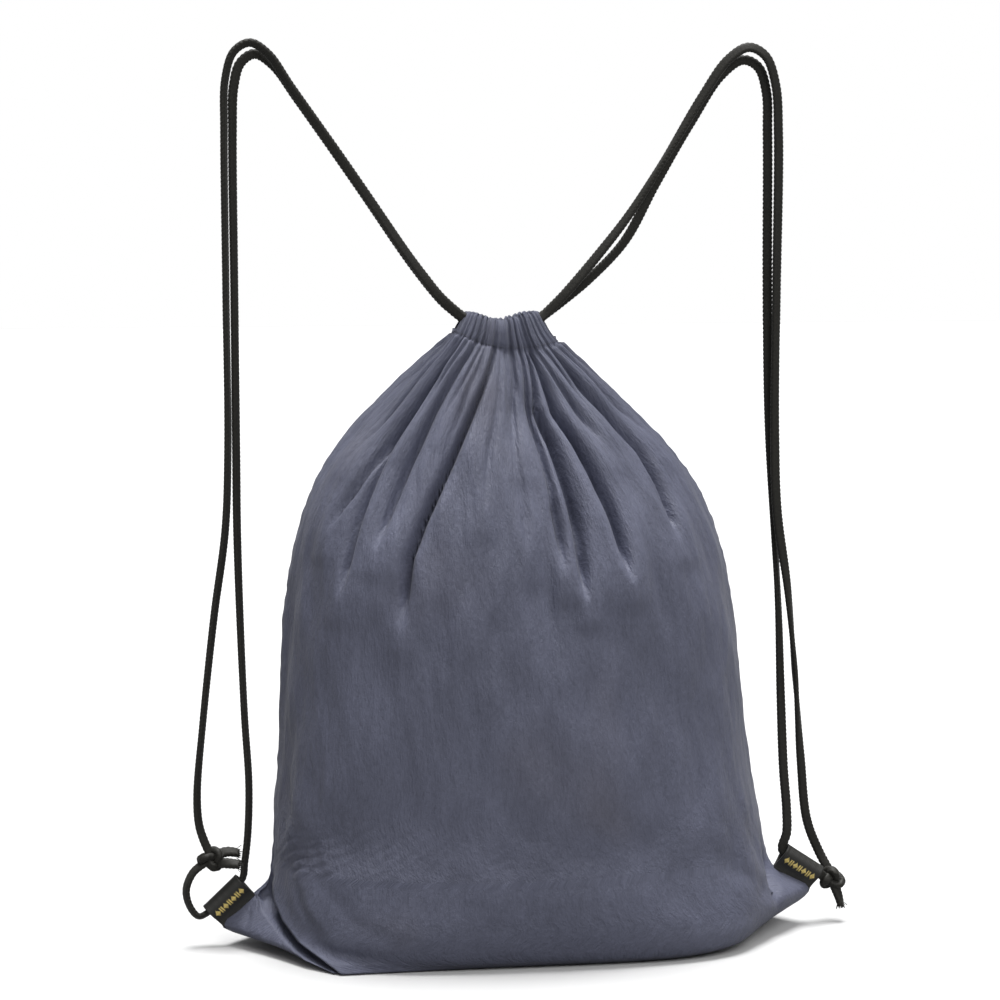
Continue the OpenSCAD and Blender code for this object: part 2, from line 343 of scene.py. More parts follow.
def braid_sides(line, turns):
    """The ways of a braid's width and of its flat face along its line."""
    along = unit(np.gradient(line, axis=0))
    roll = np.interp(np.linspace(0, 1, len(line)), [t[0] for t in turns], [t[1] for t in turns])
    roll = running_mean(np.radians(roll), 12)
    # the flat side's reference faces -Y, turned into the plane across the line
    facing = np.tile([0.0, -1.0, 0.0], (len(line), 1))
    facing = unit(facing - (facing * along).sum(1, keepdims=True) * along)
    across = np.cross(along, facing)
    cosine, sine = np.cos(roll)[:, None], np.sin(roll)[:, None]
    return cosine * across + sine * facing, cosine * facing - sine * across


def braid_mesh(name, line, turns, width=BRAID_W, thick=BRAID_T, end_keeps=1):
    """A flat herringbone braid along a line. turns gives the roll of its flat side, as (share of the length,
    degrees), and end_keeps the share of its cross-section that its far end keeps."""
    n = len(line)
    side, face = braid_sides(line, turns)
    a = 2 * np.pi * (np.arange(BRAID_SIDES) + 0.5) / BRAID_SIDES
    ca, sa = np.cos(a), np.sin(a)
    # the section is a little squarer than an ellipse
    x = np.sign(ca) * np.abs(ca) ** 0.8 * width / 2
    y = np.sign(sa) * np.abs(sa) ** 0.8 * thick / 2
    s = np.linspace(0, 1, n) * distance_along(line)[-1]
    # chevrons point along the cord, and meet in a groove down its middle
    strand = np.abs(np.sin(np.pi * (s[:, None] / BRAID_PITCH - CHEVRON * np.abs(ca)))) ** 0.6
    swell = 1 + STRAND_RISE * (strand - 0.75) - GROOVE_DEPTH * np.exp(-((ca / GROOVE_WIDTH) ** 2))
    if end_keeps < 1:
        run = min(8, n // 4)
        swell[-run:] *= np.sqrt(1 - np.linspace(0, 1, run) ** 2 * (1 - end_keeps))[:, None]
    points = line[:, None] + side[:, None] * (x * swell)[..., None] + face[:, None] * (y * swell)[..., None]
    obj = mesh_object(name, points.reshape(-1, 3), tube_faces(n, BRAID_SIDES))
    obj.data.materials.append(bpy.data.materials["braided_cord"])
    set_uv(obj, np.stack([np.tile(a / (2 * np.pi), n), np.repeat(s, BRAID_SIDES)], axis=1))
    return obj


def make_cord_material():
    """Black braided polyester with a soft fibre."""
    nodes, links, shader = new_material("braided_cord")
    set_values(shader, Roughness=0.62, Sheen_Weight=0.12, Sheen_Roughness=0.4, Specular_IOR_Level=0.35)
    coords = nodes.new("ShaderNodeTexCoord")
    fibre = noise_of(nodes, links, coords.outputs["Object"], (1400, 1400, 1400), 3, 0.5)
    colour = colour_ramp(nodes, links, fibre, [(0.3, (0.004, 0.0038, 0.0028)), (0.8, (0.024, 0.0225, 0.017))])
    links.new(colour, shader.inputs["Base Color"])
    add_bump(nodes, links, shader, fibre, 0.5, 0.15)


def make_strap(side, outer, inner, knot_at, tab, loop_end):
    """One drawcord's two runs from the neck: one ends in the knot, the other goes through the tab to it."""
    sign = -1 if side == "left" else 1
    reach = TAB_W / 2 + 1
    through = [tuple(on_tab(tab, TUNNEL_OUT, 0, along) / MM) for along in (-sign * reach, 0, sign * reach)]
    runs = {
        "outer": (outer, [f"{side}_strap_outer_run"]),
        "inner": ([*inner, *through, *loop_end, knot_at], [f"{side}_strap_inner_run", f"{side}_tab_loop"]),
    }
    knot = make_knot(side, knot_at)
    tails = make_tails(side)
    for name, (points, nodes) in runs.items():
        route = np.array(points) * MM
        line = smooth_line(route, CORD_STEP)
        cord = braid_mesh(f"{side}_strap_{name}_cord", line, CORD_TURNS[side, name])
        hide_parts(*nodes)
        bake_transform(cord)


# Roll of each cord's flat side along it, as (share of its length, degrees).
CORD_TURNS = {
    ("left", "outer"): [
        (0, 20), (0.1, -20), (0.2, 15), (0.3, 50), (0.42, 60), (0.6, 62), (0.75, 50), (0.9, 62), (1, 40),
    ],
    ("left", "inner"): [
        (0, -10), (0.12, 20), (0.25, -20), (0.33, 40), (0.45, 50), (0.6, 45), (0.75, 60), (0.86, 55), (1, 60),
    ],
    ("right", "outer"): [
        (0, 0), (0.08, 25), (0.18, 80), (0.26, 30), (0.4, 10), (0.55, 35), (0.7, 0), (0.82, 100), (0.9, 20),
        (1, 0),
    ],
    ("right", "inner"): [
        (0, 0), (0.1, -25), (0.2, 40), (0.3, 0), (0.45, -20), (0.6, 20), (0.72, 60), (0.85, 10), (1, 0),
    ],
}
KNOT_SIZE, KNOT_TILT = 1.95, {"left": 35, "right": -50}  # millimetres, and degrees


def make_knot(side, at):
    """An overhand knot: the braid wound through itself as a trefoil, drawn tight."""
    t = np.linspace(0, 2 * np.pi, 160, endpoint=False)
    size, tilt = KNOT_SIZE * MM, math.radians(KNOT_TILT[side])
    x, z = (np.sin(t) + 2 * np.sin(2 * t)) * size, (np.cos(t) - 2 * np.cos(2 * t)) * size
    y = -1.25 * np.sin(3 * t) * size
    x, z = x * math.cos(tilt) - z * math.sin(tilt), x * math.sin(tilt) + z * math.cos(tilt)
    line = np.stack([x * 1.05, y, z * 0.86], axis=1) + np.array(at) * MM
    line = smooth_line(np.vstack([line, line[:2]]), 0.5 * MM)
    turns = [(0, 20), (0.5, 200), (1, 380)]
    knot = braid_mesh(f"{side}_overhand_knot", line, turns, width=5.4 * MM, thick=4.3 * MM)
    return on_bag(knot, "cord", f"{side}_knot")


FRAY_YARNS = 26  # at each cut end


def make_tails(side):
    """The cord's cut ends past the knot, which fray into short yarns."""
    tails = []
    rng = np.random.default_rng(SEED + 20)
    for i, route in enumerate(LEFT_TAILS if side == "left" else RIGHT_TAILS):
        name = f"{side}_tail_{i + 1}"
        line = smooth_line(np.array(route) * MM, 0.5 * MM)
        tail = braid_mesh(name, line, [(0, 20 * i), (1, 70)], width=6.0 * MM, thick=4.0 * MM, end_keeps=0.8)
        on_bag(tail, "cord", *([f"{side}_cord_tails"] if i == 0 else []))
        way = unit(line[-1] - line[-4])
        yarns = []
        for _ in range(FRAY_YARNS):
            off = rng.normal(0, 1, 3)
            off -= off @ way * way
            root = line[-1] - way * 1.2 * MM + off * 1.0 * MM
            reach = way * rng.uniform(1.6, 3.4) + off * rng.uniform(0.3, 1.0)
            yarns.append((root, root + reach * MM, unit(off)))
        tails += [tail, stitches(f"{name}_fray", yarns, 0.3 * MM, "braided_cord", "cord", arch=0.3)]
    return tails


def make_casing_cords():
    """The drawcords' stretches inside the casing, from one end of the neck to the other and back."""
    for side, sign, z in (("left", -1, 359), ("right", 1, 354)):
        near, far = NECK_X + sign * 11, NECK_X - sign * 15
        front = [(near, -7, z), (NECK_X, -7.6, z - 2), (far, -6.6, z - 0.5), (far - sign * 3, -4, z)]
        route = front + [(far - sign * 4.5, 0, z)] + [(x, -y, h) for x, y, h in front[::-1]]
        line = smooth_line(np.array(route) * MM, 0.6 * MM)
        on_bag(braid_mesh(f"{side}_casing_cord", line, [(0, 0)]), "cord", f"{side}_drawcord_in_casing")


# ---- Bag cloth ----

# Outline of the filled bag in millimetres: height, left edge, left bulge, half depth, right bulge, right
# edge, and roundness, which is less than 1 where the contents push the corners of the base out.
OUTLINE = np.array([
    (0, -102, -98, 66, 112, 116, 0.46),
    (2, -120, -106, 71, 120, 129, 0.48),
    (6, -161, -122, 75, 134, 152, 0.52),
    (9, -171, -127, 76.5, 137, 161, 0.55),
    (13, -175, -133, 78, 140, 169, 0.58),
    (22, -165.5, -138, 80, 143, 177, 0.66),
    (31, -156, -141, 81, 145, 162.5, 0.74),
    (38, -148.5, -142, 81.5, 146, 153.5, 0.80),
    (46, -146, -142, 82, 145, 149.5, 0.85),
    (62, -145, -142, 82, 143, 147, 0.91),
    (100, -142, -140, 81, 136, 139, 0.94),
    (150, -140, -137, 80, 130, 133, 0.95),
    (200, -137, -134, 77, 124, 127, 0.95),
    (235, -131, -128, 71, 116, 119, 0.95),
    (262, -123, -120, 63, 105, 108, 0.95),
    (287, -110, -107, 52, 88, 91, 0.94),
    (310, -90, -87, 39, 66, 69, 0.93),
    (330, -69, -67, 27, 46, 48, 0.92),
    (349, -47, -46, 15.5, 25, 26, 0.9),
], float)
# Half width of the neck by height.
NECK = np.array([
    (300, 89), (310, 79.5), (320, 69), (330, 58.5), (340, 47), (346, 39.5), (349, 36.5), (353, 32.6),
    (357, 29.4), (363, 25.8), (369, 23),
], float)
NECK_X = -10  # middle of the neck
STITCH_Z, RIM_Z = 349, 368.5  # heights of the stitch line and of the rim
SEAM_DROP = 4.5  # how far the panels' top edge falls to each side seam

# The deep fold where the left ear meets the bulge: height, the ear's lip and the bulge's lip in x and y,
# and how far the cloth between them is tucked in.
EAR_FOLD = np.array([
    (0, -111, -64, -108.5, -65.5, 2),
    (1, -115, -68, -111, -71, 5),
    (6, -134, -50, -119, -64, 14),
    (13, -143, -30, -133, -46, 19),
    (22, -152, -12, -141.5, -28, 20),
    (31, -154.6, -2, -146, -13, 13),
    (38, -148.4, -0.6, -145.5, -8, 3),
    (43, -146.9, -0.4, -144.5, -7, 0),
], float)
EAR_COLUMNS, FOLD_COLUMNS = 22, 20  # columns from the edge to the ear's lip, and in the fold
FOLD_TOP, EVEN_TOP = 43, 95  # heights where the fold ends, and where the columns are even again

COLUMNS = 180  # across each panel
ACROSS_FLAT = 0.34  # width of the flat bag in metres
# Levels of a panel's rows, from the floor to the stitch line.
LEVELS = np.concatenate([
    [0.0, 1, 2, 3.5], np.arange(5, 50, 2.8), np.arange(50, 186, 5.5), np.arange(186, 300, 2.9),
    np.arange(300, 346, 2.2), [347.2, 348.4],
])
BASE_SHARES = (0, 0.2, 0.4, 0.6, 0.75, 0.88)  # rows of the flat base, as shares of its half depth
BASE_CLOTH = 0.06  # metres of cloth in half the base

# Folds as valleys: points down the valley (place across the panel from its left edge, and height), a depth
# and a width that fold_depth turns into millimetres, and how far above its end a fold reaches its depth.
FRONT_FOLDS = [
    ([(0.045, 352), (0.05, 318)], 2.5, 2.2, 26),
    ([(0.098, 352), (0.105, 320), (0.095, 292)], 3.5, 3.0, 26),
    ([(0.144, 352), (0.182, 329), (0.167, 304), (0.144, 271), (0.114, 246)], 5, 3.4, 24),
    ([(0.185, 354), (0.167, 335), (0.179, 310), (0.178, 280), (0.170, 212)], 7, 3.2, 22),
    ([(0.235, 352), (0.222, 330), (0.216, 305)], 2.8, 2.6, 24),
    ([(0.296, 350), (0.273, 335), (0.256, 313), (0.246, 283), (0.226, 240)], 6.5, 3.2, 22),
    ([(0.345, 350), (0.318, 330), (0.300, 312)], 3, 2.2, 20),
    ([(0.372, 350), (0.348, 322), (0.330, 290)], 2.6, 2.6, 26),
    (
        [(0.437, 348), (0.388, 318), (0.361, 299), (0.336, 278), (0.308, 256), (0.289, 235), (0.285, 196)],
        10, 2.7, 22,
    ),
    ([(0.475, 346), (0.461, 316), (0.441, 294), (0.426, 262)], 3, 3.4, 36),
    ([(0.548, 345), (0.517, 321), (0.508, 292)], 4, 3.0, 30),
    ([(0.597, 345), (0.571, 321), (0.575, 299), (0.573, 283), (0.566, 256), (0.569, 226)], 7, 2.4, 20),
    ([(0.640, 346), (0.597, 318), (0.608, 299), (0.606, 283), (0.606, 266), (0.600, 212)], 11, 3.0, 20),
    ([(0.668, 346), (0.655, 315), (0.671, 298), (0.677, 277), (0.682, 260), (0.686, 222)], 11, 3.1, 20),
    ([(0.705, 348), (0.724, 317), (0.737, 296)], 5.5, 3.4, 24),
    ([(0.765, 350), (0.768, 330), (0.770, 312)], 3, 2.6, 22),
    ([(0.819, 350), (0.811, 326), (0.831, 310), (0.842, 291), (0.810, 242)], 7.5, 3.8, 22),
    ([(0.868, 352), (0.885, 322), (0.898, 294)], 3.5, 3.0, 26),
    ([(0.93, 353), (0.94, 324)], 2.5, 2.2, 22),
    ([(0.504, 262), (0.504, 236)], 2.2, 5.0, 22),
    ([(0.537, 222), (0.540, 180)], 1.8, 9.0, 34),
]
BACK_FOLDS = [
    ([(0.06, 352), (0.06, 310)], 2.5, 2.4, 26),
    ([(0.115, 352), (0.12, 320), (0.10, 262)], 5, 3.2, 24),
    ([(0.17, 352), (0.18, 310), (0.15, 226)], 7.5, 3.2, 22),
    ([(0.23, 350), (0.215, 300)], 3.5, 2.8, 24),
    ([(0.285, 350), (0.268, 300), (0.245, 212)], 9, 2.8, 22),
    ([(0.335, 350), (0.345, 308)], 3, 2.6, 22),
    ([(0.38, 350), (0.39, 310), (0.37, 246)], 6, 3.0, 22),
    ([(0.435, 349), (0.445, 300), (0.44, 198)], 10, 3.0, 22),
    ([(0.49, 349), (0.505, 300)], 3.5, 2.6, 24),
    ([(0.54, 349), (0.55, 310), (0.58, 234)], 7.5, 3.0, 22),
    ([(0.59, 349), (0.61, 314)], 3, 2.4, 22),
    ([(0.64, 350), (0.66, 300), (0.70, 204)], 10, 3.0, 22),
    ([(0.70, 350), (0.74, 310), (0.76, 264)], 5.5, 3.2, 24),
    ([(0.76, 350), (0.80, 296)], 3.5, 2.6, 22),
    ([(0.82, 351), (0.83, 310), (0.86, 234)], 7.5, 3.6, 22),
    ([(0.88, 352), (0.90, 290)], 3.5, 3.0, 26),
    ([(0.94, 352), (0.94, 312)], 2.5, 2.4, 22),
]


def smooth_value(h, v, z):
    """The value at height z on a smooth curve through v at heights h, with no overshoot between them."""
    slope = np.gradient(v, h)
    steps = np.diff(v) / np.diff(h)
    for i in range(len(v)):
        near = [steps[j] for j in (i - 1, i) if 0 <= j < len(steps)]
        if len(near) == 2 and near[0] * near[1] <= 0:
            slope[i] = 0
        limit = 3 * min(abs(s) for s in near)
        slope[i] = np.clip(slope[i], -limit, limit)
    i = np.clip(np.searchsorted(h, z, side="right") - 1, 0, len(h) - 2)
    gap = h[i + 1] - h[i]
    t = np.clip((z - h[i]) / gap, 0, 1)
    return (
        (2 * t**3 - 3 * t**2 + 1) * v[i] + (t**3 - 2 * t**2 + t) * gap * slope[i]
        + (3 * t**2 - 2 * t**3) * v[i + 1] + (t**3 - t**2) * gap * slope[i + 1]
    )


def outline_at(z):
    """The outline's five widths and its roundness at height z."""
    return [smooth_value(OUTLINE[:, 0], OUTLINE[:, k], z) for k in range(1, 7)]


def neck_half_at(z):
    """Half the neck's width at height z."""
    return np.interp(z, NECK[:, 0], NECK[:, 1])


def ear_fold_line(z, left):
    """The left ear's fold at one level: from the edge over the ear's lip and the tuck to the bulge's lip."""
    lip_x, lip_y, bulge_x, bulge_y, tuck = (np.interp(z, EAR_FOLD[:, 0], EAR_FOLD[:, k]) for k in range(1, 6))
    shift = left - outline_at(min(z, FOLD_TOP))[0]
    lip, bulge = np.array([lip_x + shift, lip_y]), np.array([bulge_x + shift, bulge_y])
    along = unit(bulge - lip)
    inward = np.array([-along[1], along[0]]) * tuck
    return [
        (left, 0),
        lip,
        lip + 0.10 * inward + 0.8 * along,
        lip + 0.55 * inward + 2.0 * along,
        (lip + bulge) / 2 + inward,
        bulge + 0.60 * inward - 1.0 * along,
        bulge + 0.15 * inward - 0.3 * along,
        bulge,
    ]


def panel_row(z, ear_fold):
    """One level of the front panel, its columns spaced along the cloth from the left edge to the right: x, y,
    the level's length, and each column's share of it."""
    left, bulge_left, depth, bulge_right, right, roundness = outline_at(z)
    a = np.linspace(np.pi, 0, 721)
    c, s = np.cos(a), np.sin(a)
    middle, half = (bulge_left + bulge_right) / 2, (bulge_right - bulge_left) / 2
    x = middle + half * np.sign(c) * np.abs(c) ** roundness
    y = -depth * np.maximum(s, 0) ** roundness
    folded = ear_fold and z < EVEN_TOP
    start = ear_fold_line(z, left) if folded else [(left, 0)]
    # the cloth runs straight from the edges, or from the ear's fold, to where it meets the contents
    from_x, from_y = start[-1]
    first = int(np.argmax(np.where(x < middle, np.arctan2(from_y - y, x - from_x), -9)))
    last = int(np.argmax(np.where(x > middle, np.arctan2(-y, right - x), -9)))
    line = np.vstack([start, np.stack([x, y], axis=1)[first : last + 1], [(right, 0)]])
    along = distance_along(line)
    share = np.linspace(0, 1, COLUMNS + 1)
    if folded:  # columns keep to the fold's edges, and even out above it
        marks = [0, along[1] / along[-1], along[len(start) - 1] / along[-1], 1]
        kept = np.interp(np.arange(COLUMNS + 1), [0, EAR_COLUMNS, EAR_COLUMNS + FOLD_COLUMNS, COLUMNS], marks)
        share = kept + (share - kept) * smoothstep(FOLD_TOP - 3, EVEN_TOP, z)
    at = share * along[-1]
    return np.interp(at, along, line[:, 0]), np.interp(at, along, line[:, 1]), along[-1], share


def path_at(path, z):
    """The place across the panel at height z on a path whose points run down."""
    return np.interp(z, [p[1] for p in path[::-1]], [p[0] for p in path[::-1]])


def fold_depth(folds, s, z, arc):
    """How far the folds draw the cloth in, in millimetres, at places s across a level whose length is arc."""
    total = np.zeros_like(s)
    for path, depth, width, end in folds:
        tip = path[-1][1]
        d = np.abs(s - path_at(path, z)) * arc
        # folds are narrow and much alike at the neck, and reach their own size 52 mm below it
        grown = np.clip((352 - z) / 52, 0, 1)
        deep = (2.2 + 0.24 * depth) * (1 - grown) + 1.7 * depth * grown**0.8
        deep *= smoothstep(tip - 5, tip + end, z)
        wide = width * (0.38 + 0.3 * grown) * (0.6 + 0.4 * smoothstep(tip, tip + 50, z))
        round_off = 0.16 * wide
        total += deep * np.exp(-(np.sqrt(d * d + round_off**2) - round_off) / wide)
        # cloth pushed out round the valley's end, which hangs over the smooth cloth below
        lip = smoothstep(tip - 21, tip - 12, z) * smoothstep(tip + 24, tip - 4, z)
        total -= (0.17 * depth + 0.5) * lip * np.exp(-((d / (1.8 * width + 3)) ** 2))
    return total


def soft_noise(x, y, seed, waves=14):
    """A smooth random field about 1 high, from a few sine waves 0.6 to 1.6 long."""
    rng = np.random.default_rng(seed)
    total = np.zeros_like(x)
    for _ in range(waves):
        angle = rng.uniform(0, 2 * np.pi)
        k = 2 * np.pi / rng.uniform(0.6, 1.6)
        phase = rng.uniform(0, 2 * np.pi)
        total += np.sin(k * (np.cos(angle) * x + np.sin(angle) * y) + phase)
    return total / math.sqrt(waves / 2)


# Rows of the casing, up its outside and down its inside: share of its height, how far in from the neck's
# half width, half depth, and share of the pleats' depth.
CASING_ROWS = [
    (0.02, 0.2, 15.2, 1.0), (0.10, 0, 15.3, 1.0), (0.20, 0, 15.3, 0.95), (0.32, 0, 15.0, 0.95),
    (0.44, 0, 14.6, 0.95), (0.56, 0, 14.1, 0.95), (0.68, 0, 13.5, 1.0), (0.79, 0, 12.8, 1.0),
    (0.88, 0.1, 12.0, 1.05), (0.95, 0.4, 11.1, 1.1), (0.99, 0.9, 10.2, 1.15), (1.0, 1.5, 9.8, 1.15),
    (0.97, 2.2, 8.6, 1.0), (0.88, 2.8, 7.4, 0.75), (0.70, 3.2, 6.2, 0.5), (0.48, 3.5, 5.4, 0.35),
    (0.24, 3.7, 5.0, 0.3), (0.03, 3.8, 4.8, 0.25),
]
PLEAT_DEPTH, PLEATS = 1.4, 17  # of the small pleats at the neck, in millimetres, and how many


def stitch_line(s):
    """How far the stitch line lies above its mean height, and the casing's height over it, across a panel."""
    low = np.interp(s, [0, 0.12, 0.3, 0.5, 0.7, 0.88, 1], [8, 6.5, 2, -2.5, -2.5, 0, 1.5])
    low = running_mean(low, 8)
    # the rim dips in the middle
    rim = RIM_Z - 4.2 * np.exp(-(((s - 0.48) / 0.2) ** 2)) - STITCH_Z
    return low, rim - low


def ruffles(s, seed):
    """The neck's small pleats, from 0 on a ridge to 1 in a valley, unevenly spaced."""
    place = np.cumsum(np.random.default_rng(seed).uniform(0.6, 1.4, PLEATS + 1))
    phase = np.interp(s, (place - place[0]) / (place[-1] - place[0]), np.arange(PLEATS + 1))
    return 1 - np.abs(np.sin(np.pi * phase)) ** 0.6


def drawn_in(folds, s, z, arc, seed):
    """How far the folds and the neck's small pleats draw the cloth in, in millimetres."""
    return fold_depth(folds, s, z, arc) + PLEAT_DEPTH * smoothstep(326, STITCH_Z, z) * ruffles(s, seed)


def at_seam(s):
    """1 at each side seam, falling to 0 close by."""
    return smoothstep(0.05, 0, s) + smoothstep(0.95, 1, s)


def off_seam(s):
    """0 at each side seam, rising to 1 close by."""
    return np.minimum(smoothstep(0, 0.03, s), smoothstep(0, 0.03, 1 - s))


def lay_rows(ear_fold):
    """One panel's smooth rows, from the fold at the base up to the stitch line. Also their places on the flat
    cloth in metres, and each row's length and its columns' shares of it."""
    rows, cloth, arcs, shares = [], [], [], []
    up = 0.0
    for z, out in [(0.0, k) for k in BASE_SHARES] + [(z, 1) for z in LEVELS]:
        x, y, arc, share = panel_row(z, ear_fold)
        row = np.stack([x, y * out, np.full_like(x, z)], axis=1)
        if z > 0:
            middle = slice(COLUMNS // 4, -COLUMNS // 4)
            up += float(np.linalg.norm(row - rows[-1], axis=1)[middle].mean()) * MM
        else:
            up = BASE_CLOTH * out
        # measured from the right edge, so that the weave stays upright beside the ear's fold
        across = ACROSS_FLAT * (1 - (1 - share) * arc / panel_row(z, False)[2])
        rows.append(row)
        cloth.append(np.stack([across, np.full_like(x, up)], axis=1))
        arcs.append(arc)
        shares.append(share)
    wall = np.array(rows)
    # the cloth above the ear's fold is evened out
    above_fold = np.flatnonzero((wall[:, 0, 2] > 46) & (wall[:, 0, 2] < 125))
    for _ in range(6):
        wall[above_fold] = (wall[above_fold - 1] + 2 * wall[above_fold] + wall[above_fold + 1]) / 4
    return wall, cloth, arcs, shares


def shape_neck(wall, s):
    """The stitch line sags in the middle of the neck and falls to the seams, and the cloth under it follows.
    Returns how far the sag lifts each point."""
    line, _ = stitch_line(s)
    x, z = wall[..., 0].copy(), wall[..., 2].copy()
    lift = smoothstep(300, STITCH_Z, z) * line
    narrower = np.where(z > 300, neck_half_at(z + lift) / neck_half_at(z), 1)
    wall[..., 0] = NECK_X + (x - NECK_X) * narrower
    wall[..., 2] = z + lift - SEAM_DROP * at_seam(s) * smoothstep(338, STITCH_Z, z)
    return lift


def crinkles(u, v, seed):
    """The cloth's own unevenness in millimetres: long waves, shorter ones, and a fine upright crinkle."""
    long_waves, waves = soft_noise(u / 90, v / 120, seed), soft_noise(u / 26, v / 60, seed + 1)
    return 1.1 * long_waves + 0.5 * waves + 0.2 * soft_noise(u / 9, v / 42, seed + 3, waves=24)


def pinch_depth(pinches, x, z):
    """How far the short pinched folds draw the cloth in, in millimetres."""
    total = np.zeros_like(x)
    for at_x, at_z, long, wide, deep, lean in pinches:
        dx, dz = x - at_x, z - at_z
        c, s = math.cos(math.radians(lean)), math.sin(math.radians(lean))
        total += deep * np.exp(-(((dx * c - dz * s) / wide) ** 2) - ((dx * s + dz * c) / long) ** 2)
    return total


def seam_pucker(u, v, from_left, arc, seed):
    """How far a seam's stitches pucker the cloth beside it, in millimetres."""
    beside = np.exp(-from_left / 5) + np.exp((from_left - arc) / 5)
    return beside * (0.35 + 0.3 * soft_noise(u / 40, v / 9, seed + 2))


def casing_grid(last, normal, folds, seed, s):
    """Rows of the casing over the panel's last row: pleated, full round its cords, turned in at the rim."""
    line, tall = stitch_line(s)
    drop = SEAM_DROP * at_seam(s)
    c, depth = (last[:, 0] - NECK_X) / neck_half_at(last[:, 2] + drop), -last[:, 1] / np.max(-last[:, 1])
    # the pleats go on from the folds below: 78 mm is the panel's length at the stitch line
    drawn = drawn_in(folds, s, np.full_like(s, STITCH_Z), 78, seed)
    pleats = np.clip(1.5 + 1.1 * (drawn - running_mean(drawn, 15)), 0, 3.6) * off_seam(s)
    pleats *= 0.25 + 0.75 * np.minimum(smoothstep(0.10, 0.36, s), smoothstep(0.92, 0.72, s))
    out = unit(normal * [1, 1, 0])
    rows = []
    for k, (rise, inset, half_depth, share) in enumerate(CASING_ROWS):
        level = STITCH_Z + line + rise * tall
        x = NECK_X + (neck_half_at(level) - inset) * c
        z = level - (drop if k < 2 else 0) - 0.8 * pleats * max(0, rise - 0.6)
        rows.append(np.stack([x, -half_depth * depth, z], axis=1) - out * (pleats * share)[:, None])
    return rows


def panel_grid(folds, creases, pinches, seed, ear_fold):
    """One panel as seen from the front: rows of points from the fold at the base up to the inside of the
    casing, and their places on the flat cloth in metres."""
    s = np.linspace(0, 1, COLUMNS + 1)
    wall, cloth, arcs, shares = lay_rows(ear_fold)
    lift = shape_neck(wall, s)
    # outward normal of the smooth shape
    normal = unit(np.cross(np.gradient(wall, axis=1), np.gradient(wall, axis=0)))
    normal[: len(BASE_SHARES) + 1] = (0, 0, -1)
    rows = []
    for i, row in enumerate(wall):
        z = row[:, 2] - lift[i]
        u, v = cloth[i].T / MM
        body = smoothstep(8, 60, z)
        drawn = drawn_in(folds, s, z, arcs[i], seed)
        h = (0.75 * smoothstep(310, 345, z) * running_mean(drawn, 15) - drawn) * off_seam(s)
        h += body * off_seam(s) * crinkles(u, v, seed)
        h -= crease_depth(creases, cloth[i][:, 0] / ACROSS_FLAT, z, arcs[i])
        h -= pinch_depth(pinches, row[:, 0], z)
        h -= body * seam_pucker(u, v, shares[i] * arcs[i], arcs[i], seed)
        rows.append(row + normal[i] * h[:, None])
    rows += casing_grid(wall[-1], normal[-1], folds, seed, s)
    up = cloth[-1][0, 1]
    for k in range(len(CASING_ROWS)):
        cloth.append(np.stack([s * ACROSS_FLAT, np.full_like(s, up + 0.002 + 0.0015 * k)], axis=1))
    return np.array(rows), np.array(cloth)


# Soft creases: points down each (place across the panel, height), depth and width in millimetres.
FRONT_CREASES = [
    ([(0.030, 96), (0.062, 64), (0.120, 34), (0.190, 14), (0.215, 6)], 1.6, 3.6),
    ([(0.012, 120), (0.060, 92), (0.125, 58), (0.215, 30), (0.290, 16)], 1.3, 5.0),
    ([(0.100, 120), (0.150, 90), (0.235, 55), (0.300, 36)], 0.9, 7.0),
    ([(0.845, 110), (0.870, 78), (0.905, 52), (0.925, 40)], 1.3, 5.0),
    ([(0.780, 70), (0.830, 48), (0.880, 34)], 1.2, 6.0),
    ([(0.36, 215), (0.352, 168)], 1.6, 7.0),
    ([(0.245, 205), (0.250, 158)], 1.3, 6.0),
    ([(0.575, 215), (0.560, 165)], 1.2, 7.0),
    ([(0.445, 205), (0.440, 160)], 1.4, 8.0),
    ([(0.735, 235), (0.745, 185)], 1.2, 7.0),
    ([(0.640, 212), (0.650, 176)], 1.0, 6.0),
]
BACK_CREASES = [
    ([(0.05, 100), (0.10, 62), (0.18, 30), (0.24, 12)], 2.0, 4.5),
    ([(0.94, 105), (0.90, 66), (0.82, 32), (0.76, 14)], 2.0, 4.5),
    ([(0.13, 110), (0.20, 72), (0.29, 40)], 1.3, 6.0),
    ([(0.36, 205), (0.35, 160)], 1.4, 7.0),
    ([(0.62, 200), (0.63, 150)], 1.4, 8.0),
]
# Short pinched folds: x and z of the middle, half length, half width and depth in millimetres, and lean in
# degrees.
FRONT_PINCHES = [
    (148.5, 33, 10, 2.3, 8.5, -12),
    (155.5, 39, 6, 1.9, 4, -20),
    (-160, 19, 5, 1.6, 1.8, 25),
    (-150, 31, 4, 1.9, 3.5, 10),
]


def crease_depth(creases, share, z, arc):
    """How far the soft creases draw the cloth in, in millimetres, less the roll of cloth beside each."""
    total = np.zeros_like(share)
    for path, depth, width in creases:
        low, high = path[-1][1], path[0][1]
        span = high - low
        ends = smoothstep(low - 0.1 * span, low + 0.35 * span, z)
        ends = ends * smoothstep(high + 0.1 * span, high - 0.35 * span, z)
        slope = (path_at(path, z + 4) - path_at(path, z - 4)) * arc / 8
        d = (share - path_at(path, z)) * arc / (width * np.hypot(1, slope))
        total += depth * ends * (np.exp(-d * d) - 0.45 * np.exp(-((d - 1.6) ** 2)))
    return total


OPEN_COLUMNS = 9  # of each panel, beside each seam, where the casing is open for its cords


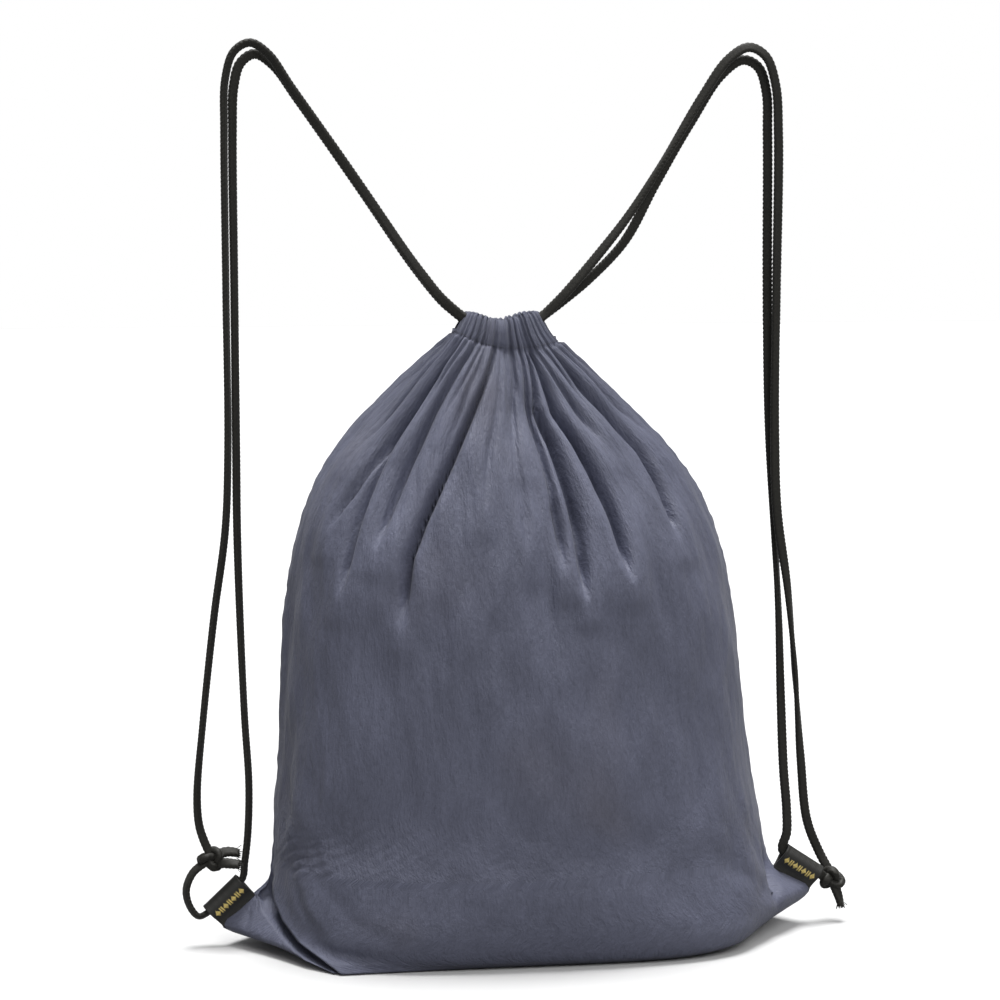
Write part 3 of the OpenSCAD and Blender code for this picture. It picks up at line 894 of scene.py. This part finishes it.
def bag_faces(index, across, up):
    """Faces of the bag, and each corner's place on the flat cloth. The casing stays open beside the seams."""
    rows, columns = index.shape
    open_from = rows - len(CASING_ROWS) + 2
    faces, uv = [], []
    for r in range(rows - 1):
        for c in range(columns):
            from_seam = min(c, columns - 1 - c, abs(c - COLUMNS + 0.5) - 0.5)
            if r >= open_from and from_seam < OPEN_COLUMNS:
                continue
            n = (c + 1) % columns
            faces.append([index[r, c], index[r, n], index[r + 1, n], index[r + 1, c]])
            uv += [(across[r, c], up[r]), (across[r, c + 1], up[r])]
            uv += [(across[r + 1, c + 1], up[r + 1]), (across[r + 1, c], up[r + 1])]
    return faces, uv


def make_bag():
    """Front and back panels joined at the sides and folded at the base, with a casing along each top."""
    front, cloth = panel_grid(FRONT_FOLDS, FRONT_CREASES, FRONT_PINCHES, SEED, True)
    back, cloth_back = panel_grid(BACK_FOLDS, BACK_CREASES, [], SEED + 10, False)
    back[..., 1] *= -1
    # the two panels share their side edges and the fold at the base
    front[:, [0, -1]] = (front[:, [0, -1]] + back[:, [0, -1]]) / 2
    ring = np.concatenate([front, back[:, -2:0:-1]], axis=1)
    columns = ring.shape[1]
    index = np.arange(len(ring) * columns).reshape(len(ring), columns)
    for i in range(1, COLUMNS):  # the back's first row is the front's
        index[0, columns - i] = index[0, i]
    across = np.concatenate([cloth[..., 0], 2 * ACROSS_FLAT - cloth_back[:, -2::-1, 0]], axis=1)
    faces, uv = bag_faces(index, across, cloth[:, 0, 1])
    used = sorted({i for face in faces for i in face})
    order = {old: new for new, old in enumerate(used)}
    points = (ring.reshape(-1, 3) * MM)[used]
    obj = mesh_object("bag_cloth", points, [[order[i] for i in face] for face in faces])
    layer = obj.data.uv_layers.new(name="cloth")
    layer.data.foreach_set("uv", np.array(uv, np.float32).ravel())
    obj.data.materials.append(bpy.data.materials["crinkle_nylon"])
    thick = obj.modifiers.new("cloth", "SOLIDIFY")
    thick.thickness = 0.4 * MM
    thick.offset = -1
    return obj, front * MM, back * MM


def make_nylon():
    """Crinkled nylon: slate grey with a browner cast in places, an upright crinkle, fine grain, a soft sheen."""
    nodes, links, shader = new_material("crinkle_nylon")
    set_values(shader, Specular_IOR_Level=0.35, Sheen_Weight=0.08, Sheen_Roughness=0.35)
    uv = nodes.new("ShaderNodeUVMap")
    uv.uv_map = "cloth"
    cloth = uv.outputs["UV"]
    crinkle = noise_of(nodes, links, cloth, (820, 230, 1), 4, 0.65)
    ripple = noise_of(nodes, links, cloth, (210, 48, 1), 4)
    cloud = noise_of(nodes, links, cloth, (16, 9, 1), 3)
    grain = noise_of(nodes, links, cloth, (1900, 1300, 1), 2, 0.7)
    value = weighted(nodes, links, (crinkle, 0.30), (ripple, 0.22), (cloud, 0.26), (grain, 0.22))
    slate = colour_ramp(nodes, links, value, [(0.34, (0.070, 0.075, 0.108)), (0.66, (0.132, 0.140, 0.200))])
    brown = colour_ramp(nodes, links, value, [(0.34, (0.076, 0.074, 0.095)), (0.66, (0.134, 0.132, 0.169))])
    cast = nodes.new("ShaderNodeMapRange")
    cast.interpolation_type = "SMOOTHSTEP"
    cast.inputs["From Min"].default_value = 0.5
    cast.inputs["From Max"].default_value = 0.95
    links.new(noise_of(nodes, links, cloth, (11, 7, 1), 2), cast.inputs["Value"])
    mix = nodes.new("ShaderNodeMix")
    mix.data_type = "RGBA"
    links.new(cast.outputs["Result"], mix.inputs["Factor"])
    links.new(slate, mix.inputs["A"])
    links.new(brown, mix.inputs["B"])
    links.new(mix.outputs["Result"], shader.inputs["Base Color"])
    links.new(map_range(nodes, links, ripple, 0.40, 0.58), shader.inputs["Roughness"])
    height = weighted(nodes, links, (ripple, 1.6), (crinkle, 1.0), (grain, 0.25))
    add_bump(nodes, links, shader, height, 1.0, 0.8)


def make_webbing():
    """Black satin webbing: lengthwise ribs and a soft gloss."""
    nodes, links, shader = new_material("satin_webbing")
    set_values(shader, Specular_IOR_Level=0.5, Sheen_Weight=0.05)
    uv = nodes.new("ShaderNodeUVMap")
    uv.uv_map = "cloth"
    ribs = nodes.new("ShaderNodeTexWave")
    ribs.wave_type, ribs.bands_direction = "BANDS", "X"
    ribs.inputs["Scale"].default_value = 320
    ribs.inputs["Distortion"].default_value = 0.6
    links.new(uv.outputs["UV"], ribs.inputs["Vector"])
    yarn = noise_of(nodes, links, uv.outputs["UV"], (1500, 5000, 1), 2, 0.6)
    value = weighted(nodes, links, (ribs.outputs["Fac"], 0.5), (yarn, 0.5))
    colour = colour_ramp(nodes, links, value, [(0.2, (0.006, 0.006, 0.005)), (0.8, (0.024, 0.023, 0.020))])
    links.new(colour, shader.inputs["Base Color"])
    links.new(map_range(nodes, links, yarn, 0.38, 0.6), shader.inputs["Roughness"])
    add_bump(nodes, links, shader, value, 0.6, 0.2)


def make_yarn(name, dark, light, rough):
    """A twisted sewing yarn."""
    nodes, links, shader = new_material(name)
    set_values(shader, Roughness=rough, Sheen_Weight=0.1)
    coords = nodes.new("ShaderNodeTexCoord")
    twist = noise_of(nodes, links, coords.outputs["Object"], (2200, 2200, 2200), 2)
    links.new(colour_ramp(nodes, links, twist, [(0.3, dark), (0.7, light)]), shader.inputs["Base Color"])
    add_bump(nodes, links, shader, twist, 0.5, 0.1)


# ---- Sewn details ----

WEBBING_T = 0.9  # thickness of the webbing, in millimetres
# The webbing's middle line, from the ear out round the cord: how far out and how far forward.
TAB_FOLD = [
    (-3.2, 0.9), (0, 0.95), (2.6, 1.5), (5.2, 2.7), (7.6, 3.75), (10.2, 4.2), (12.6, 3.5), (14.2, 1.8),
    (14.7, 0),
]
SURFACE = WEBBING_T / 2 + 0.05  # where yarn lies, out from the webbing's middle line
MOTIF_MIDDLE = 10.4  # distance round the webbing from its end to the motif's middle


def tab_line():
    """The webbing's middle line all the way round, front to back, as how far out and forward."""
    half = [(out, 0, forward) for out, forward in TAB_FOLD]
    line = smooth_line(half + [(o, 0, -f) for o, _, f in half[-2::-1]], 0.35)
    return line[:, [0, 2]]


def strip_faces(n, m):
    """Faces of a strip: two skins of n rows of m points, the second turned inside out, and four edges."""
    faces, k = [], n * m
    for i in range(n - 1):
        for j in range(m - 1):
            q = (i * m + j, i * m + j + 1, (i + 1) * m + j + 1, (i + 1) * m + j)
            faces += [q, tuple(v + k for v in q[::-1])]
    for i in range(n - 1):
        for j in (0, m - 1):
            q = (i * m + j, (i + 1) * m + j, (i + 1) * m + j + k, i * m + j + k)
            faces.append(q if j == 0 else q[::-1])
    for j in range(m - 1):
        for i in (0, n - 1):
            q = (i * m + j, i * m + j + k, i * m + j + 1 + k, i * m + j + 1)
            faces.append(q if i == 0 else q[::-1])
    return faces


def make_tab(side, tab):
    """Webbing folded round the cord, its ends sewn over the ear. Returns its middle line, the way out of its
    face and the distance along it, for what is sewn to it."""
    line = tab_line()
    direction = unit(np.gradient(line, axis=0))
    normal = np.stack([-direction[:, 1], direction[:, 0]], axis=1)
    run = distance_along(line)
    across = np.linspace(-TAB_W / 2, TAB_W / 2, 79)
    n, m = len(line), len(across)
    # ribs run lengthwise; the selvedges are a little thicker
    selvedge = 0.12 * np.exp(-((np.abs(across) - TAB_W / 2 + 0.7) / 0.5) ** 2)
    rib = 0.05 * np.cos(2 * np.pi * across / 1.3) + selvedge
    shells = []
    for sign in (1, -1):
        offset = sign * (WEBBING_T / 2 + rib)[None, :]
        out, forward = (line[:, k : k + 1] + normal[:, k : k + 1] * offset for k in (0, 1))
        shells.append(on_tab(tab, out, forward, np.broadcast_to(across, (n, m))).reshape(-1, 3))
    obj = mesh_object(f"{side}_webbing_tab", np.vstack(shells), strip_faces(n, m))
    set_uv(obj, np.stack([np.tile(across, 2 * n), np.tile(np.repeat(run, m), 2)], axis=1) * MM)
    obj.data.materials.append(bpy.data.materials["satin_webbing"])
    on_bag(obj, "webbing", f"{side}_tab")
    return line, normal, run


STITCH_SIDES, STITCH_STEPS = 6, 6


def stitches(name, pairs, radius, material, slot, *nodes, arch=0.5):
    """Short stitches of yarn as one piece. Each pair is its two ends and the way it stands up, in metres."""
    points, faces = [], []
    for start, end, up in pairs:
        start, end, up = np.array(start, float), np.array(end, float), unit(np.array(up, float))
        beside = np.cross(unit(end - start), up)
        faces += tube_faces(STITCH_STEPS, STITCH_SIDES, len(points))
        for t in np.linspace(0, 1, STITCH_STEPS):
            rise = math.sin(math.pi * t)
            centre = start + (end - start) * t + up * radius * arch * rise
            r = radius * (0.35 + 0.65 * rise**0.5)
            for a in (2 * math.pi * k / STITCH_SIDES for k in range(STITCH_SIDES)):
                points.append(centre + (beside * math.cos(a) + up * math.sin(a)) * r)
    obj = mesh_object(name, points, faces)
    obj.data.materials.append(bpy.data.materials[material])
    return on_bag(obj, slot, *nodes)


def make_tab_details(side, tab, line, normal, run):
    """The gold woven motif, a plain row of diamonds and bars, and the bar tack that holds the tab."""

    def at(arc, along, lift):
        """A point over the webbing's front at a distance round it and along the tunnel, in metres."""
        p = [np.interp(arc, run, line[:, k]) + np.interp(arc, run, normal[:, k]) * lift for k in (0, 1)]
        return on_tab(tab, p[0], p[1], along)

    sign = 1 if normal[0, 1] > 0 else -1
    pairs = []
    for k, centre in enumerate(np.arange(-9.3, 9.4, 3.1)):
        for offset in np.arange(-1.35, 1.36, 0.45):
            diamond, bars = 2.5 * (1 - abs(offset) / 1.7), 2.2 if 0.3 < abs(offset) < 1 else 0
            half = diamond if k % 2 == 0 else bars
            if half > 0.3:
                low, high = (at(MOTIF_MIDDLE + d, centre + offset, sign * SURFACE) for d in (-half, half))
                foot, top = (at(MOTIF_MIDDLE, centre + offset, sign * (SURFACE + d)) for d in (0, 1))
                pairs.append((low, high, top - foot))
    stitches(f"{side}_tab_motif", pairs, 0.24 * MM, "gold_lurex", "gold_yarn", f"{side}_tab_emblem")
    pairs = []
    for i, along in enumerate(np.arange(-TAB_W / 2 + 1, TAB_W / 2 - 0.9, 0.5)):
        near, far = (1.6, 3.0) if i % 2 else (3.0, 1.6)
        a, b = at(near, along, sign * SURFACE), at(far, along + 0.5, sign * SURFACE)
        for face in (1, -1):
            pairs.append((a * [1, face, 1], b * [1, face, 1], (0, -face, 0)))
    stitches(f"{side}_tab_bar_tack", pairs, 0.19 * MM, "black_thread", "thread", f"{side}_tab_stitching")


def make_casing_stitching(side, grid, face, row):
    """A line of lockstitch along one panel's casing, which gathers with its pleats."""
    line = grid[row]
    up = unit(np.cross(np.gradient(line, axis=0), np.gradient(grid, axis=0)[row])) * face
    run = distance_along(line)
    pairs = []
    for start in np.arange(1.5 * MM, run[-1] - 3 * MM, 2.1 * MM):
        a, b, way = (
            np.array([np.interp(start + d, run, source[:, k]) for k in range(3)])
            for d, source in ((0, line), (1.5 * MM, line), (0.7 * MM, up))
        )
        pairs.append((a + way * 0.15 * MM, b + way * 0.15 * MM, way))
    name = f"{side}_casing_lockstitch"
    return stitches(name, pairs, 0.2 * MM, "grey_thread", "thread", f"{side}_casing_stitching")


make_camera()
make_cord_material()
make_strap("left", LEFT_OUTER, LEFT_INNER, LEFT_KNOT, LEFT_TAB, LEFT_LOOP_END)
make_strap("right", RIGHT_OUTER, RIGHT_INNER, RIGHT_KNOT, RIGHT_TAB, RIGHT_LOOP_END)
make_casing_cords()
make_nylon()
make_webbing()
make_yarn("gold_lurex", (0.62, 0.46, 0.12), (0.95, 0.78, 0.30), 0.38)
make_yarn("black_thread", (0.008, 0.008, 0.007), (0.03, 0.029, 0.026), 0.55)
make_yarn("grey_thread", (0.045, 0.046, 0.062), (0.095, 0.098, 0.13), 0.55)

bag, front_grid, back_grid = make_bag()
on_bag(
    bag, "nylon", "front_panel", "back_panel", "base_fold",
    "front_casing", "back_casing", "left_side_seam", "right_side_seam",
)
stitch_row = len(front_grid) - len(CASING_ROWS) + 1
sewn = [
    make_casing_stitching("front", front_grid, 1, stitch_row),
    make_casing_stitching("back", back_grid, -1, stitch_row),
]
for side, tab in (("left", LEFT_TAB), ("right", RIGHT_TAB)):
    make_tab_details(side, tab, *make_tab(side, tab))
make_stage()
